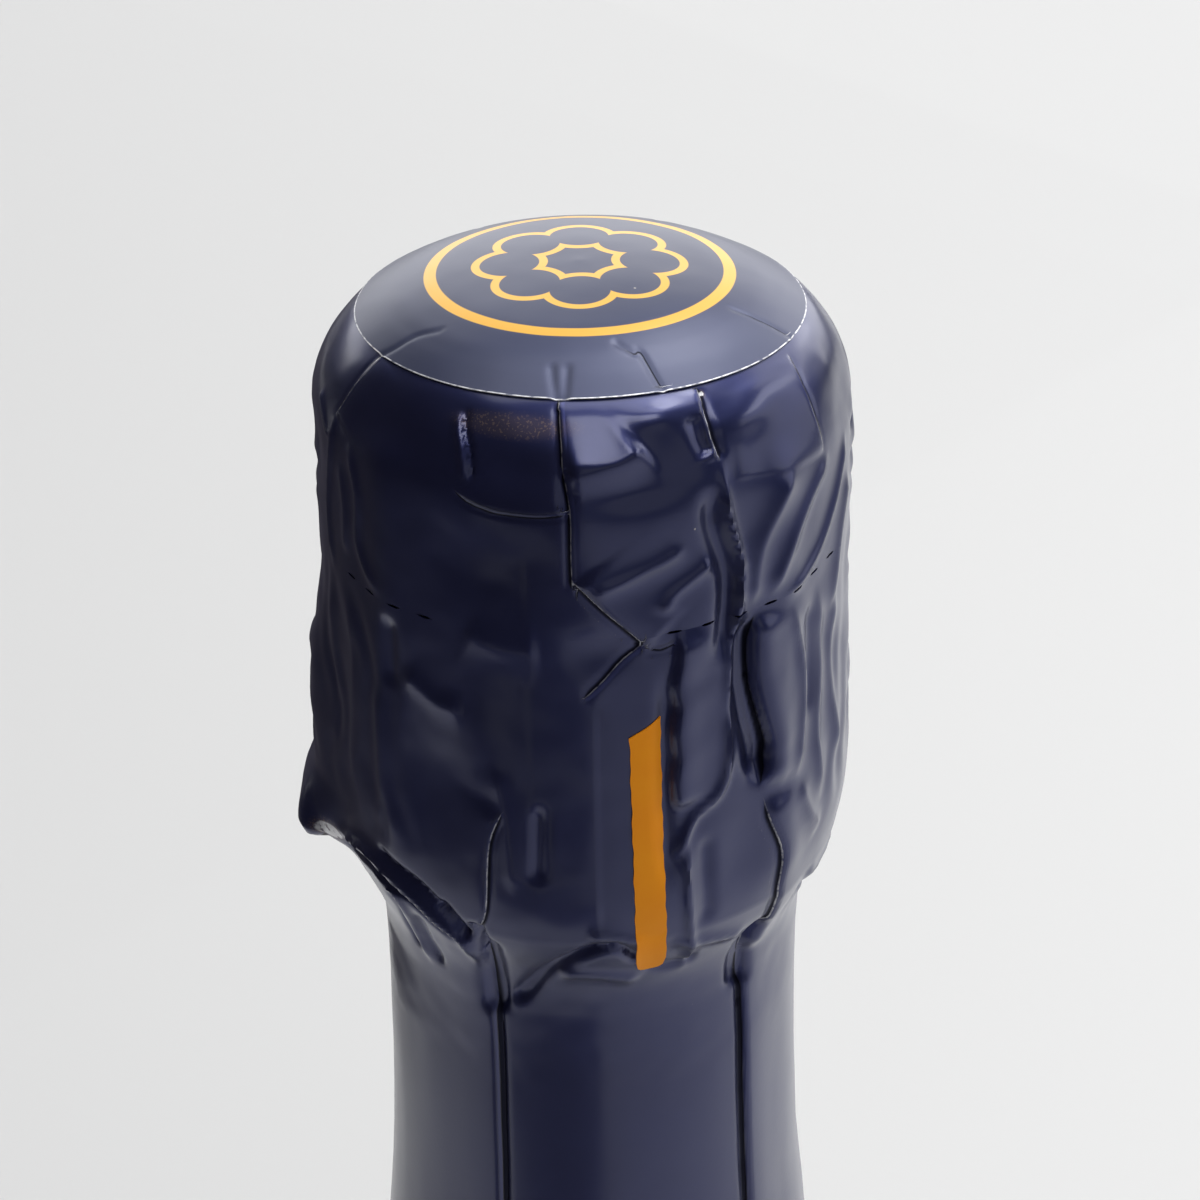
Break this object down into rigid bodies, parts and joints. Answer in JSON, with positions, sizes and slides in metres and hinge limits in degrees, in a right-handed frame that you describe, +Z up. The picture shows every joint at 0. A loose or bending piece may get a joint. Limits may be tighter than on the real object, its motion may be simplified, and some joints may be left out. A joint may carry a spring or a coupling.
{
  "type": "champagne bottle",
  "caption": "Sealed dark green sparkling-wine bottle with wine, mushroom cork, twisted wire cage and navy foil capsule; the tear strip, foil cap, cage and cork come off in turn.",
  "frame": {"origin": "centre of the base, on the plane of the ring that the bottle stands on", "axes": "+Z up along the bottle's axis, -Y towards the front, where the tear strip is, +X to the right"},
  "size_m": [0.0884, 0.0884, 0.322],
  "materials": {
    "green_glass": "polished dark green glass",
    "wine": "clear pale gold liquid",
    "agglomerate_cork": "granular agglomerated cork",
    "natural_cork": "natural cork with pores",
    "lacquered_plate": "lacquered tin plate",
    "steel_wire": "bright galvanised wire",
    "navy_foil": "satin lacquered foil, creased",
    "orange_film": "satin plastic film"
  },
  "bodies": {
    "bottle": {"glass_bottle": "green_glass", "wine": "wine", "foil_skirt": "navy_foil"},
    "cork": {"cork_body": "agglomerate_cork", "cork_disc_upper": "natural_cork", "cork_disc_lower": "natural_cork"},
    "cage": {"cage_plaque": "lacquered_plate", "cage_frame": "steel_wire", "cage_belt": "steel_wire"},
    "foil_cap": {"foil_top_disc": "navy_foil", "foil_hood": "navy_foil"},
    "tear_tab": {"tear_strip": "orange_film"}
  },
  "joints": [
    {"name": "cork_pull", "type": "slide", "parent": "bottle", "child": "cork", "axis": [0, 0, 1], "range_m": [0, 0.05]},
    {"name": "cage_lift", "type": "slide", "parent": "cork", "child": "cage", "axis": [0, 0, 1], "range_m": [0, 0.05], "deforming": ["cage_frame", "cage_belt"]},
    {"name": "foil_lift", "type": "slide", "parent": "cage", "child": "foil_cap", "axis": [0, 0, 1], "range_m": [0, 0.04]},
    {"name": "strip_peel", "type": "hinge", "parent": "bottle", "child": "tear_tab", "pos_m": [0.0035, -0.01721, 0.2968], "axis": [-0.9799, -0.1994, 0], "range_deg": [0, 150]}
  ]
}
